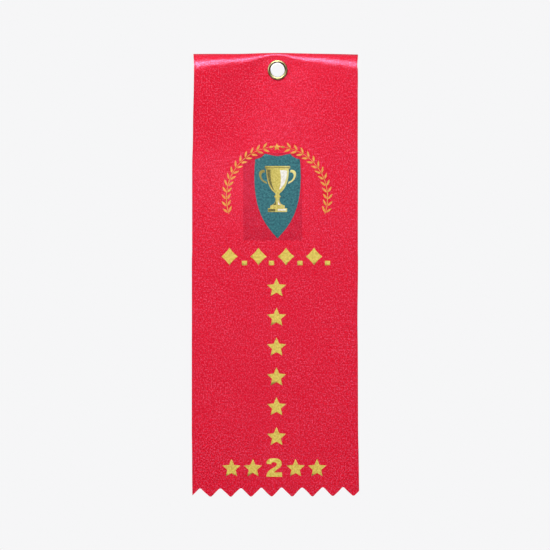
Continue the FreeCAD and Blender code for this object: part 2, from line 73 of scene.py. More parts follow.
X0 = (panel_low[0] + panel_high[0]) / 2
HALF = (panel_high[0] - panel_low[0]) / 2
THICK = panel_high[1] - panel_low[1]
YF = (panel_low[1] + panel_high[1]) / 2          # middle of the front layer
TIGHT = -YF                                      # half the distance between the two layers where they are pinched
TIP = tail_low[2]
RIM = (eye_high[0] - eye_low[0]) / 2
BORE = [m for m in frame["record"]["mounts"] if m["name"] == "eyelet_bore"][0]["dims"]["r_mm"]
DATUM = -30.0                                    # height where the strip's own length coordinate s is 0
SEAM = (shield_low[2] + title_high[2]) / 2       # the cloth is two pieces that meet here, between two prints
PITCH, ROUND, PHASE = 6.216, 0.60, -1.26
STRIP = 152.4
S_SEAM = SEAM - DATUM
S_TIP = TIP - DATUM                              # the strip's bottom end
S_FLAP = S_TIP + STRIP                           # and its top end, behind


def smooth(t):
    t = np.clip(t, 0.0, 1.0)
    return t * t * (3 - 2 * t)


def soft_power(t, p, e):
    t = np.maximum(t, 0.0)
    return ((t * t + e * e) ** (p / 2) - e**p) / ((1 + e * e) ** (p / 2) - e**p)


# ------------------------------------------------------------------ the strip's outline at rest
EDGE_Z = np.array([5.1, 4.6, 1.2, 0.0, -3.7, -7.3, -14.7, -22.0, -29.4, -55.1, -58.8, -77.0, -84.5, -110.2, -117.6, -124.9, -131.0])
LEFT_X = np.array([-25.85, -25.79, -25.57, -25.57, -25.62, -25.69, -25.88, -25.97, -26.17, -26.17, -26.27, -26.25, -26.28, -26.28, -26.19, -26.16, -26.09])
RIGHT_X = np.array([24.64, 24.63, 24.39, 24.54, 24.57, 24.53, 24.57, 24.55, 24.58, 24.58, 24.63, 24.48, 24.57, 24.66, 24.81, 24.91, 24.99])
TOP_X = np.array([-26.1, -19.8, -14.0, -8.5, -4.8, -1.3, 2.6, 6.8, 11.7, 17.2, 24.7])
TOP_Z = np.array([5.02, 5.01, 5.00, 5.10, 5.21, 5.24, 5.24, 5.18, 5.08, 5.00, 4.88]) + (head_high[2] - 5.10)


def eased(x, xs, ys):
    """A monotone cubic through the points, so that an edge has no corners."""
    order = np.argsort(xs)
    xs, ys = xs[order], ys[order]
    h = np.diff(xs)
    d = np.diff(ys) / h
    m = np.zeros_like(ys)
    m[1:-1] = np.where(d[:-1] * d[1:] > 0, 2 * d[:-1] * d[1:] / np.where(d[:-1] + d[1:] == 0, 1, d[:-1] + d[1:]), 0)
    m[0], m[-1] = d[0], d[-1]
    x = np.clip(x, xs[0], xs[-1])
    i = np.clip(np.searchsorted(xs, x) - 1, 0, len(h) - 1)
    t = (x - xs[i]) / h[i]
    return ((2 * t**3 - 3 * t**2 + 1) * ys[i] + (t**3 - 2 * t**2 + t) * h[i] * m[i]
            + (-2 * t**3 + 3 * t**2) * ys[i + 1] + (t**3 - t**2) * h[i] * m[i + 1])


def across(u, z):
    """Where a point of the strip lies across the object: its edges are not quite straight."""
    left = eased(z, EDGE_Z, LEFT_X) - (X0 - HALF)
    right = eased(z, EDGE_Z, RIGHT_X) - (X0 + HALF)
    share = (u + HALF) / (2 * HALF)
    return X0 + u + left * (1 - share) + right * share


def drape(x, z):
    """How far the hanging cloth stands off flat: long soft waves, with its sides turned a little."""
    w = (x - X0) / HALF
    fade = smooth((-z - 7.0) / 16.0)
    y = 0.16 * np.sin((z + 16.0) * 2 * math.pi / 83.0 + 0.5) * (1 + 0.35 * w)
    y = y + 0.07 * np.sin(z * 2 * math.pi / 37.0 + 1.7 * w + 0.8)
    y = y + 0.22 * (w * w - 0.3) * np.sin((z + 62.0) * 2 * math.pi / 150.0)
    y = y + 0.05 * np.sin(w * 5.1 + z / 21.0)
    return y * fade


def pucker(x, z):
    """Soft creases that leave the eyelet, where the rim pulls on the cloth."""
    r = np.hypot(x, z)
    angle = np.arctan2(z, x)
    swell = np.exp(-(((r - RIM - 2.4) / 2.6) ** 2)) * smooth((r - RIM) / 1.4)
    y = 0.018 * np.cos(5 * angle + 0.9) + 0.010 * np.cos(8 * angle - 0.4)
    dip = 0.16 * np.exp(-(((x + 8.5) / 5.0) ** 2) - (((z + 3.6 + 0.14 * x) / 3.2) ** 2))
    hollow = smooth((1.0 - z) / 14.0) * (1 - smooth((-z - 14.0) / 42.0)) * np.exp(-(((x + 12.0) / 8.0) ** 2))
    return y * swell + dip * smooth((r - RIM) / 3.0) + 0.75 * hollow


# ------------------------------------------------------------------ the strip's length, column by column
COLUMNS = np.concatenate([[-HALF, -HALF + 0.03, -HALF + 0.09], np.arange(-HALF + 0.2, HALF - 0.19, 0.2),
                          [HALF - 0.09, HALF - 0.03, HALF]])
COLUMNS = np.unique(np.round(COLUMNS, 5))
DS = 0.01
S_FINE = np.arange(0.0, S_FLAP + 1.5, DS)

LEFT_LEAN, RIGHT_LEAN = 3.1, 2.1
# half the width of the roll, in mm, across the ribbon: tight over the eyelet, and open towards both sides
ROLL_X = np.array([-26.2, -25.0, -21.9, -18.2, -14.6, -10.9, -9.06, -7.2, -5.4, -3.55, -1.5, 0.0, 1.5, 3.8, 5.6, 7.5, 9.3,
                   11.1, 13.0, 14.8, 16.7, 18.5, 20.3, 22.2, 24.8])
ROLL_R = np.array([4.15, 3.98, 3.56, 3.12, 2.78, 2.40, 2.10, 1.72, 1.35, 0.92, 0.60, 0.55, 0.60, 1.14, 1.55, 1.90, 2.12,
                   2.28, 2.44, 2.66, 2.92, 3.14, 3.34, 3.60, 4.05])


def fold_numbers(u):
    """Radius of the roll, forward lean, the flap's inward turn, and how far the layers stay apart, for each column."""
    x = X0 + u
    left = (-x - RIM - 0.1) / (HALF - X0 - RIM - 0.1)
    right = (x - RIM + 0.1) / (HALF + X0 - RIM + 0.1)
    radius = eased(x, ROLL_X, ROLL_R)
    radius = (np.convolve(np.pad(radius, 8, mode="edge"), np.ones(17) / 17, mode="valid") + radius) / 2
    lean = LEFT_LEAN * np.where(left > 0, soft_power(left, 0.95, 0.10), 0) \
        + RIGHT_LEAN * np.where(right > 0, soft_power(right, 1.0, 0.10), 0)
    lean = lean * (1 - 0.34 * smooth((np.abs(u) / HALF - 0.66) / 0.34))
    apart = smooth((np.abs(x) - 3.1) / 10.0)
    turn = math.radians(9.0) * apart * np.clip(radius / 4.0, 0, 1.1)
    return radius, lean, turn, apart


def fold_profiles():
    """(y, z, tilt) of the strip's middle surface above the datum, for each column and each length s.
    The front swells forward a little, goes over the roll, and near the eyelet the flap is drawn back in under it."""
    radius, lean, turn, apart = fold_numbers(COLUMNS)
    bulge = 0.35
    t = np.linspace(0, 1, 2001)
    share = t - bulge * np.sin(2 * math.pi * t) / (2 * math.pi)
    width = np.sin(math.pi * share)[:-1].sum() / 2000      # of a loop of unit length; a plain arc has 2 / pi
    tilt = lean / 23.0
    near = (1 - apart) ** 0.6
    swell = math.radians(4.0) * near * (1 + 1.6 * smooth((-X0 - COLUMNS - 2.0) / 5.0))
    draw = math.radians(52.0) * near + 1e-4
    front_run = np.clip(0.7 + 0.3 * np.abs(X0 + COLUMNS), 0.7, 3.5)
    whole = math.pi + turn + tilt + swell + draw
    length = radius / (math.pi * width / 2) * whole
    top = eased(X0 + COLUMNS, TOP_X, TOP_Z) - THICK / 2
    closing = (radius * (np.cos(swell) + np.cos(draw)) - 2 * TIGHT) * (1 - apart) - front_run * swell / 2
    back_run = np.clip(2 * closing / draw, 0.6, 6.0)
    start = top - DATUM - radius
    s = S_FINE[None, :]
    columns = np.arange(len(COLUMNS))
    held = columns[apart < 0.002]            # the columns that the eyelet clinches
    for _ in range(7):
        p = (s - start[:, None]) / length[:, None]
        q = np.clip(p, 0, 1)
        f = q - bulge * np.sin(2 * math.pi * q) / (2 * math.pi)
        phi = tilt[:, None] * smooth(s / 16.0) - whole[:, None] * f
        phi = phi + swell[:, None] * smooth((s - start[:, None]) / front_run[:, None] + 1)
        end = start + length
        phi = phi + draw[:, None] * smooth((s - end[:, None]) / back_run[:, None])
        past = s - end[:, None] - (3.2 + top - radius * (1 + np.sin(draw)))[:, None]
        phi = phi + math.radians(4.5) * smooth(past / 5.0) * (1 - apart)[:, None]
        y = YF - np.cumsum(np.sin(phi), axis=1) * DS
        z = DATUM + np.cumsum(np.cos(phi), axis=1) * DS
        start = start + (top - z.max(axis=1)) / np.cos(tilt)
        drawn = y[columns, np.clip(((end + back_run) / DS).astype(int), 0, y.shape[1] - 1)]
        more = 2 * (drawn - YF - 2 * TIGHT) / draw
        more = np.where(columns < held[0], more[held[0]], np.where(columns > held[-1], more[held[-1]], more)) * (1 - apart) ** 2
        back_run = np.clip(back_run + more, 0.4, 6.0)
        back_run = np.convolve(np.pad(back_run, 6, mode="edge"), np.ones(13) / 13, mode="valid")
    return y, z, phi


Y_FINE, Z_FINE, PHI_FINE = fold_profiles()


def look_up(table, u, s):
    """A table of columns by lengths, read between its points."""
    i = np.clip(np.searchsorted(COLUMNS, u) - 1, 0, len(COLUMNS) - 2)
    a = np.clip((u - COLUMNS[i]) / (COLUMNS[i + 1] - COLUMNS[i]), 0, 1)
    k = np.clip(s / DS, 0, table.shape[1] - 1.001)
    j = k.astype(int)
    b = k - j
    return ((1 - a) * ((1 - b) * table[i, j] + b * table[i, j + 1])
            + a * ((1 - b) * table[i + 1, j] + b * table[i + 1, j + 1]))


def surface(u, s, off):
    """The point of the cloth at u across and s along, off to its outside (negative is the inside)."""
    u, s = np.broadcast_arrays(np.asarray(u, float), np.asarray(s, float))
    up = np.maximum(s, 0.0)
    y = np.where(s > 0, look_up(Y_FINE, u, up), YF)
    z = np.where(s > 0, look_up(Z_FINE, u, up), DATUM + s)
    phi = np.where(s > 0, look_up(PHI_FINE, u, up), 0.0)
    x = across(u, z)
    front = s < 35.0
    wave = drape(x, z) + pucker(x, z)
    wave = np.where(front, wave, pucker(x, z) * 0.3)
    y = y + wave
    return np.stack([x, y - np.cos(phi) * off, z - np.sin(phi) * off], axis=-1)


# ------------------------------------------------------------------ pinked ends
def teeth(x, shift=0.0):
    """Height of the pinked edge above the line through its sharp tips."""
    d = np.abs((x - X0 - PHASE - shift + PITCH / 2) % PITCH - PITCH / 2)
    cut = ROUND / math.sqrt(2)
    sharp = d
    tip = ROUND * math.sqrt(2) - np.sqrt(np.maximum(ROUND**2 - d**2, 0))
    e = PITCH / 2 - d
    root = PITCH / 2 - ROUND * math.sqrt(2) + np.sqrt(np.maximum(ROUND**2 - e**2, 0))
    return np.where(d < cut, tip, np.where(e < cut, root, sharp))


def bottom_end(u):
    x = X0 + u
    wander = 0.05 * np.sin(x * 0.9 + 1.0) + 0.04 * np.sin(x * 2.3)
    return S_TIP - ROUND * (math.sqrt(2) - 1) + teeth(x) + 0.16 + 0.20 * (x - X0) / HALF + wander


def flap_end(u):
    x = X0 + u
    wander = 0.05 * np.sin(x * 0.7 + 2.0)
    return S_FLAP + ROUND * (math.sqrt(2) - 1) - teeth(x, 2.1) + wander


# ------------------------------------------------------------------ cloth meshes
def new_object(name, mesh):
    made = bpy.data.objects.new(name, mesh)
    bpy.context.scene.collection.objects.link(made)
    return made


def edge_taper(u):
    """The selvedge is turned in a thread's width, so the cloth is thinner at its very edge."""
    d = HALF - np.abs(u)
    return np.where(d < 0.13, 0.45 + 0.55 * np.sqrt(np.clip(1 - (1 - d / 0.13) ** 2, 0, 1)), 1.0)


def cloth(name, rows_s, hole=0.0):
    """A closed thin mesh over COLUMNS and rows_s (rows by columns), with a UV map of the flat strip in metres.
    Material 0 is the satin face, 1 the back, 2 the cut and woven edges."""
    rows, cols = rows_s.shape
    u = np.broadcast_to(COLUMNS[None, :], rows_s.shape).copy()
    s = rows_s.copy()
    if hole:
        # the grid's points just inside the hole go out to its wall, on both layers of the cloth
        for _ in range(2):
            p = surface(u, s, 0.0)
            r = np.hypot(p[..., 0], p[..., 2])
            near = (r < hole) & (r > hole - 0.42)
            grow = np.where(near, hole / np.maximum(r, 1e-6), 1.0)
            x, z = p[..., 0] * grow, p[..., 2] * grow
            u = np.where(near, u + (x - p[..., 0]), u)
            down = p[..., 1] > 0
            s = np.where(near, s + np.where(down, -1, 1) * (z - p[..., 2]), s)
    half = THICK / 2 * edge_taper(COLUMNS)[None, :]
    outer, inner = surface(u, s, half), surface(u, s, -half)
    mid = surface(u, s, 0.0)
    r = np.hypot(mid[..., 0], mid[..., 2])
    index = np.arange(rows * cols).reshape(rows, cols)
    a, b, c, d = index[:-1, :-1], index[:-1, 1:], index[1:, 1:], index[1:, :-1]
    quads = np.stack([a, b, c, d], axis=-1).reshape(-1, 4)
    if hole:
        inside = (r < hole - 1e-4).reshape(-1)
        quads = quads[~inside[quads].any(axis=1)]
        centre = mid.reshape(-1, 3)[quads].mean(axis=1)
        quads = quads[np.hypot(centre[:, 0], centre[:, 2]) > hole - 0.02]
    n = rows * cols
    # an edge that only one quad uses is on the border, and gets a wall
    e = np.concatenate([quads[:, [0, 1]], quads[:, [1, 2]], quads[:, [2, 3]], quads[:, [3, 0]]])
    key = np.sort(e, axis=1)
    code = key[:, 0].astype(np.int64) * n + key[:, 1]
    _, first, count = np.unique(code, return_index=True, return_counts=True)
    border = e[first[count == 1]]
    faces = np.concatenate([quads, quads[:, ::-1] + n, np.stack([border[:, 1], border[:, 0], border[:, 0] + n, border[:, 1] + n], axis=1)])
    kind = np.concatenate([np.zeros(len(quads), int), np.ones(len(quads), int), np.full(len(border), 2)])
    points = np.concatenate([outer.reshape(-1, 3), inner.reshape(-1, 3)]) * MM
    flat = np.stack([u.reshape(-1), s.reshape(-1)], axis=-1) * MM
    flat = np.concatenate([flat, flat])
    used = np.unique(faces)
    back = np.full(2 * n, -1)
    back[used] = np.arange(len(used))
    faces, points, flat = back[faces], points[used], flat[used]
    mesh = bpy.data.meshes.new(name)
    mesh.from_pydata(points.tolist(), [], faces.tolist())
    uv = mesh.uv_layers.new(name="strip")
    loops = np.empty(len(mesh.loops), int)
    mesh.loops.foreach_get("vertex_index", loops)
    uv.data.foreach_set("uv", flat[loops].astype(np.float32).reshape(-1))
    mesh.polygons.foreach_set("material_index", kind.astype(np.int32))
    mesh.polygons.foreach_set("use_smooth", np.ones(len(kind), bool))
    mesh.update()
    bm = bmesh.new()
    bm.from_mesh(mesh)
    for edge in bm.edges:
        faces_here = edge.link_faces
        if len(faces_here) == 2 and faces_here[0].material_index != faces_here[1].material_index:
            edge.smooth = False
    bm.to_mesh(mesh)
    bm.free()
    return new_object(name, mesh)


def lower_rows():
    level = np.concatenate([np.arange(S_SEAM, S_TIP + 9.0, -0.8), [S_TIP + 9.0]])
    rows = [np.full(len(COLUMNS), v) for v in level]
    end = bottom_end(COLUMNS)
    for t in np.linspace(0, 1, 13)[1:]:
        rows.append(level[-1] + (end - level[-1]) * t)
    return np.array(rows)[::-1]          # from the bottom up


def upper_rows():
    level = np.concatenate([np.arange(S_SEAM, 19.9, 0.8), np.arange(20.0, 26.5, 0.5), np.arange(26.6, 32.4, 0.25),
                            np.arange(32.5, 38.0, 0.09), np.arange(38.1, 46.2, 0.3)])
    rows = [np.full(len(COLUMNS), v) for v in level]
    end = flap_end(COLUMNS)
    for t in np.linspace(0, 1, 12)[1:]:
        rows.append(level[-1] + (end - level[-1]) * t)
    return np.array(rows)


HOLE = BORE + 0.25
ribbon_upper = cloth("ribbon_upper", upper_rows(), hole=HOLE)
ribbon_lower = cloth("ribbon_lower", lower_rows())


# ------------------------------------------------------------------ printed films, laid on the cloth
def film(node, name, lift, step_z=1.4, step_x=2.4):
    """The CAD film's outline as a thin coat of ink that follows the cloth, its face lift mm off the cloth."""
    bm = bmesh.new()
    bm.from_mesh(frame["nodes"][node].data)
    bmesh.ops.remove_doubles(bm, verts=bm.verts, dist=1e-7)
    bmesh.ops.dissolve_limit(bm, angle_limit=0.01, verts=bm.verts, edges=bm.edges)
    low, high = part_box(node)
    for axis, a, b, step in ((2, low[2], high[2], step_z * MM), (0, low[0], high[0], step_x * MM)):
        normal = Vector((0, 0, 0))
        normal[axis] = 1
        for k in range(int(math.floor(a / step)) + 1, int(math.ceil(b / step))):
            at = Vector((0, 0, 0))
            at[axis] = k * step + 1.3e-6
            bmesh.ops.bisect_plane(bm, geom=bm.verts[:] + bm.edges[:] + bm.faces[:], dist=1e-8, plane_co=at, plane_no=normal)
    bmesh.ops.triangulate(bm, faces=bm.faces[:])
    co = np.array([v.co for v in bm.verts]) * 1000
    y_mid = 500 * (low[1] + high[1])
    face = co[:, 1] < y_mid
    u = co[:, 0] - X0
    s = co[:, 2] - DATUM
    for _ in range(3):                       # the cloth's own coordinates of the point at this x and z
        p = surface(u, s, 0.0)
        u, s = u + (co[:, 0] - p[:, 0]), s + (co[:, 2] - p[:, 2])
    off = THICK / 2 + np.where(face, lift, -0.02)
    p = surface(u, s, off) * MM
    for v, q in zip(bm.verts, p):
        v.co = q
    bm.normal_update()
    mesh = bpy.data.meshes.new(name)
    bm.to_mesh(mesh)
    uv = mesh.uv_layers.new(name="strip")
    loops = np.empty(len(mesh.loops), int)
    mesh.loops.foreach_get("vertex_index", loops)
    flat = np.stack([u, s], axis=-1)[loops] * MM
    uv.data.foreach_set("uv", flat.astype(np.float32).reshape(-1))
    bm.free()
    mesh.polygons.foreach_set("use_smooth", np.ones(len(mesh.polygons), bool))
    mesh.set_sharp_from_angle(angle=math.radians(40))
    return new_object(name, mesh)


UPPER_PRINTS = {
    "print_laurel_left": ("ink_gold", 0.030), "print_laurel_right": ("ink_gold", 0.030),
    "print_wreath_star": ("ink_gold", 0.030), "print_shield": ("ink_teal", 0.030),
    "print_cup": ("ink_yellow", 0.045), "print_cup_light": ("ink_cream", 0.058), "print_cup_shade": ("ink_olive", 0.058),
}
LOWER_PRINTS = {
    "print_title_row": ("ink_yellow", 0.035), "print_star_first": ("ink_yellow", 0.035),
    "print_star_column": ("ink_yellow", 0.035), "print_place_row": ("ink_yellow", 0.035),
}
prints = {}
for node, (ink, lift) in {**UPPER_PRINTS, **LOWER_PRINTS}.items():
    prints[node] = film(node, node.replace("print_", "ink_"), lift)


# ------------------------------------------------------------------ eyelet
def eyelet_mesh():
    """Sheet brass: a rolled front rim, a straight barrel, and a clinched back whose edge has split as it rolled."""
    rb = BORE
    sheet = 0.22
    barrel = 0.45
    ro = (RIM - rb) / 2
    face = panel_low[1]
    profile = []                      # (radius, y, how much the clinch's splits move it)
    for k in range(15):               # outside of the front roll, from the bore over to the rim
        a = math.pi - math.pi * k / 14
        profile.append((rb + ro + ro * math.cos(a), -barrel - ro * math.sin(a) * 1.02, 0.0))
    profile += [(RIM, -barrel + 0.04, 0.0), (RIM - 0.01, face - 0.02, 0.0), (RIM - 0.05, face + 0.03, 0.0),
                (RIM - sheet * 0.7, face + 0.03, 0.0), (RIM - sheet, face - 0.02, 0.0), (RIM - sheet, -barrel, 0.0)]
    ri = ro - sheet
    for k in range(1, 9):
        a = math.pi * k / 9
        profile.append((rb + ro + ri * math.cos(a), -barrel - ri * math.sin(a), 0.0))
    profile += [(rb + sheet, -barrel, 0.0), (rb + sheet, -barrel * 0.5, 0.0), (rb + sheet, 0.0, 0.0), (rb + sheet, barrel * 0.6, 0.0)]
    rk = (eye_high[0] - 0.0 - rb) / 2 * 0.93
    rj = rk - sheet
    for k in range(9):
        a = math.pi - math.pi * k / 8
        profile.append((rb + rk + rj * math.cos(a), barrel + rj * math.sin(a), 0.35 * k / 8))
    profile += [(rb + 2 * rk - sheet, -face + 0.02, 0.9), (rb + 2 * rk - sheet * 0.7, -face - 0.03, 1.0),
                (rb + 2 * rk - 0.05, -face - 0.02, 1.0), (rb + 2 * rk, -face + 0.03, 0.9)]
    for k in range(14):
        a = math.pi * k / 14
        profile.append((rb + rk + rk * math.cos(a), barrel + rk * math.sin(a), 0.8 * (1 - k / 14) ** 1.5))
    profile += [(rb, barrel, 0.0), (rb, barrel * 0.5, 0.0), (rb, 0.0, 0.0), (rb, -barrel * 0.5, 0.0)]
    around = 192
    n = len(profile)
    points = []
    for i in range(around):
        t = 2 * math.pi * i / around
        split = 0.0
        for j in range(8):
            at = 2 * math.pi * (j + 0.21 * math.sin(j * 2.4)) / 8 + 0.3
            d = (t - at + math.pi) % (2 * math.pi) - math.pi
            split = max(split, math.exp(-((d / 0.045) ** 2)) * (0.7 + 0.3 * math.sin(j * 1.9)))
        soft = 0.012 * math.sin(3 * t + 0.6) + 0.008 * math.sin(7 * t + 1.0)
        for r, y, w in profile:
            rr = r - w * (0.26 * split) + soft * w
            yy = y - w * 0.05 * split if y > 0 else y
            front = 0.006 * math.sin(2 * t + 1.1) if y < -barrel else 0.0
            points.append((rr * math.cos(t) * MM, (yy + front) * MM, rr * math.sin(t) * MM))
    faces = []
    for i in range(around):
        j = (i + 1) % around
        for k in range(n):
            m = (k + 1) % n
            faces.append((i * n + k, i * n + m, j * n + m, j * n + k))
    mesh = bpy.data.meshes.new("brass_eyelet")
    mesh.from_pydata(points, [], faces)
    bm = bmesh.new()
    bm.from_mesh(mesh)
    bmesh.ops.recalc_face_normals(bm, faces=bm.faces[:])
    bm.to_mesh(mesh)
    bm.free()
    mesh.polygons.foreach_set("use_smooth", np.ones(len(mesh.polygons), bool))
    mesh.set_sharp_from_angle(angle=math.radians(50))
    return new_object("brass_eyelet", mesh)


brass_eyelet = eyelet_mesh()


# ------------------------------------------------------------------ materials
def srgb(r, g, b):
    def f(v):
        v /= 255.0
        return v / 12.92 if v <= 0.04045 else ((v + 0.055) / 1.055) ** 2.4
    return (f(r), f(g), f(b), 1.0)


class Nodes:
    """A short way to write a material's node tree."""

    def __init__(self, name):
        self.material = bpy.data.materials.new(name)
        self.material.use_nodes = True
        self.tree = self.material.node_tree
        self.tree.nodes.clear()
        self.out = self.tree.nodes.new("ShaderNodeOutputMaterial")
        self.shader = self.tree.nodes.new("ShaderNodeBsdfPrincipled")
        self.tree.links.new(self.shader.outputs[0], self.out.inputs["Surface"])

    def put(self, value, socket):
        if isinstance(value, bpy.types.NodeSocket):
            self.tree.links.new(value, socket)
        elif value is not None:
            socket.default_value = value

    def node(self, kind, settings=(), **inputs):
        made = self.tree.nodes.new(kind)
        for key, value in dict(settings).items():
            setattr(made, key, value)
        for key, value in inputs.items():
            self.put(value, made.inputs[key.replace("_", " ")])
        return made

    def math(self, operation, a, b=None, c=None, clamp=False):
        made = self.tree.nodes.new("ShaderNodeMath")
        made.operation = operation
        made.use_clamp = clamp
        for i, value in enumerate((a, b, c)):
            self.put(value, made.inputs[i])
        return made.outputs[0]

    def mix(self, factor, a, b, blend="MIX"):
        made = self.tree.nodes.new("ShaderNodeMix")
        made.data_type = "RGBA"
        made.blend_type = blend
        self.put(factor, made.inputs[0])
        self.put(a, made.inputs[6])
        self.put(b, made.inputs[7])
        return made.outputs[2]

    def noise(self, vector, scale, detail=2.0, rough=0.5, distortion=0.0):
        return self.node("ShaderNodeTexNoise", {"noise_dimensions": "3D"}, Vector=vector, Scale=scale, Detail=detail,
                         Roughness=rough, Distortion=distortion).outputs[0]

    def span(self, value, a, b, c, d, kind="LINEAR"):
        made = self.tree.nodes.new("ShaderNodeMapRange")
        made.interpolation_type = kind
        for i, v in enumerate((value, a, b, c, d)):
            self.put(v, made.inputs[i])
        return made.outputs[0]

    def strip(self, scale=1000.0, stretch=(1, 1, 1)):
        """The flat strip's own coordinates, in mm: x across, y along."""
        uv = self.node("ShaderNodeUVMap", {"uv_map": "strip"}).outputs[0]
        made = self.node("ShaderNodeVectorMath", {"operation": "MULTIPLY"})
        self.put(uv, made.inputs[0])
        made.inputs[1].default_value = (scale * stretch[0], scale * stretch[1], scale * stretch[2])
        return made.outputs[0]

    def split(self, vector):
        made = self.node("ShaderNodeSeparateXYZ")
        self.put(vector, made.inputs[0])
        return made.outputs

    def bump(self, height, strength, distance, normal=None):
        made = self.node("ShaderNodeBump", Strength=strength, Distance=distance)
        self.put(height, made.inputs["Height"])
        if normal is not None:
            self.put(normal, made.inputs["Normal"])
        return made.outputs[0]

    def finish(self, **inputs):
        for key, value in inputs.items():
            self.put(value, self.shader.inputs[key.replace("_", " ")])
        return self.material


def weave(k, weft=0.21, warp=0.17):
    """Height of a warp-faced satin: fine warp threads with a sunken crossing every fifth weft, in steps."""
    x, y, _ = k.split(k.strip())
    wobble = k.noise(k.strip(), 0.9, 1.0)
    shift = k.math("MULTIPLY", k.math("SUBTRACT", wobble, 0.5), 0.25)
    xs = k.math("ADD", x, shift)
    threads = k.math("ABSOLUTE", k.math("SINE", k.math("MULTIPLY", xs, math.pi / warp)))
    # crossings: one of five threads dips under each weft, two along from the last
    diagonal = k.math("ADD", k.math("MULTIPLY", xs, 2.0 * math.pi / (5 * warp)), k.math("MULTIPLY", y, 4.0 * math.pi / (5 * weft)))
    cross = k.math("POWER", k.math("MAXIMUM", k.math("COSINE", diagonal), 0.0), 3.0)
    ribs = k.math("SINE", k.math("MULTIPLY", y, 2 * math.pi / weft))
    height = k.math("ADD", k.math("MULTIPLY", threads, 0.45), k.math("MULTIPLY", ribs, 0.10))
    return k.math("SUBTRACT", height, k.math("MULTIPLY", cross, 0.55)), x, y


def rectangle_mask(k, x, y, low, high, soft):
    """1 inside a rectangle of the strip, 0 outside, with soft edges."""
    a = k.span(x, low[0] - soft, low[0] + soft, 0.0, 1.0, "SMOOTHSTEP")
    b = k.span(x, high[0] - soft, high[0] + soft, 1.0, 0.0, "SMOOTHSTEP")
    c = k.span(y, low[1] - soft, low[1] + soft, 0.0, 1.0, "SMOOTHSTEP")
    d = k.span(y, high[1] - soft, high[1] + soft, 1.0, 0.0, "SMOOTHSTEP")
    return k.math("MULTIPLY", k.math("MULTIPLY", a, b), k.math("MULTIPLY", c, d))


RED = srgb(215, 0, 34)
GHOST_X = np.array([shield_low[0] - 3.30, shield_high[0] + 0.55]) - X0
GHOST_Z = np.array([shield_low[2] - 0.60, shield_high[2] + 0.25]) - DATUM


def satin(name, face=True):
    k = Nodes(name)
    height, x, y = weave(k)
    grain = k.noise(k.strip(stretch=(1.0, 0.8, 1.0)), 2.6, 3.0, 0.66)
    cloudy = k.noise(k.strip(), 0.085, 2.0, 0.5)
    fleck = k.noise(k.strip(stretch=(1.0, 0.8, 1.0)), 2.5, 1.5, 0.55)
    red = RED if face else srgb(206, 30, 56)
    dark = (red[0] * 0.76, red[1] * 0.3, red[2] * 0.40, 1.0)
    light = (red[0] * 1.20, red[1] + 0.003, red[2] + 0.004, 1.0)
    colour = k.mix(k.span(grain, 0.36, 0.64, 0.0, 1.0), dark, light)
    # painted glints: pale pink flecks in the colour stand in for the satin's sparkle, beside the real sparkle from the
    # varying specular level and bump
    colour = k.mix(k.span(fleck, 0.46, 0.66, 0.0, 0.80 if face else 0.35), colour, (0.86, 0.074, 0.146, 1.0))
    colour = k.mix(k.span(cloudy, 0.30, 0.70, 0.0, 0.30), colour, red)
    # painted shade: the red is darkened where the weave dips, in the hollows between threads
    painted_hollow_shade = k.span(height, -0.45, 0.15, 0.22, 0.0)
    colour = k.mix(painted_hollow_shade, colour, tuple(c * 0.72 for c in red[:3]) + (1,))
    # woven selvedges: a denser band with its own ridges
    side = k.math("SUBTRACT", HALF, k.math("ABSOLUTE", x))
    band = k.span(side, 0.55, 0.75, 1.0, 0.0, "SMOOTHSTEP")
    colour = k.mix(k.math("MULTIPLY", band, 0.34), colour, srgb(206, 14, 42))
    if face:
        ghost = rectangle_mask(k, x, y, (GHOST_X[0], GHOST_Z[0]), (GHOST_X[1], GHOST_Z[1]), 0.10)
        patchy = k.span(k.noise(k.strip(), 0.5, 2.0), 0.3, 0.7, 0.62, 1.0)
        colour = k.mix(k.math("MULTIPLY", k.math("MULTIPLY", ghost, patchy), 0.36), colour, (0.20, 0.001, 0.013, 1.0))
    ridges = k.math("SINE", k.math("MULTIPLY", side, 2 * math.pi / 0.26))
    height = k.math("ADD", height, k.math("MULTIPLY", k.math("MULTIPLY", ridges, band), 0.8))
    height = k.math("ADD", height, k.math("MULTIPLY", grain, 0.9))
    normal = k.bump(height, 0.55 if face else 0.75, 0.00003)
    normal = k.bump(grain, 1.0, 0.00004 if face else 0.00005, normal)
    normal = k.bump(k.noise(k.strip(), 0.35, 2.0), 0.35, 0.00035, normal)
    rough = k.span(fleck, 0.3, 0.7, 0.30, 0.20) if face else k.span(grain, 0.3, 0.7, 0.62, 0.75)
    return k.finish(Base_Color=colour, Roughness=rough, Normal=normal,
                    IOR=1.5, Specular_IOR_Level=k.span(fleck, 0.40, 0.60, 0.50, 1.25) if face else 0.4, Specular_Tint=(1.0, 0.52, 0.95, 1.0),
                    Sheen_Weight=0.03 if face else 0.12, Sheen_Roughness=0.35, Sheen_Tint=(1.0, 0.45, 0.62, 1.0),
                    Anisotropic=0.0)


def cut_edge():
    k = Nodes("satin_cut_edge")
    grain = k.noise(k.strip(), 6.0, 2.0)
    colour = k.mix(k.span(grain, 0.35, 0.65, 0.0, 1.0), srgb(176, 8, 34), srgb(226, 30, 60))
    return k.finish(Base_Color=colour, Roughness=0.6, Normal=k.bump(grain, 0.5, 0.00004), Specular_IOR_Level=0.3)


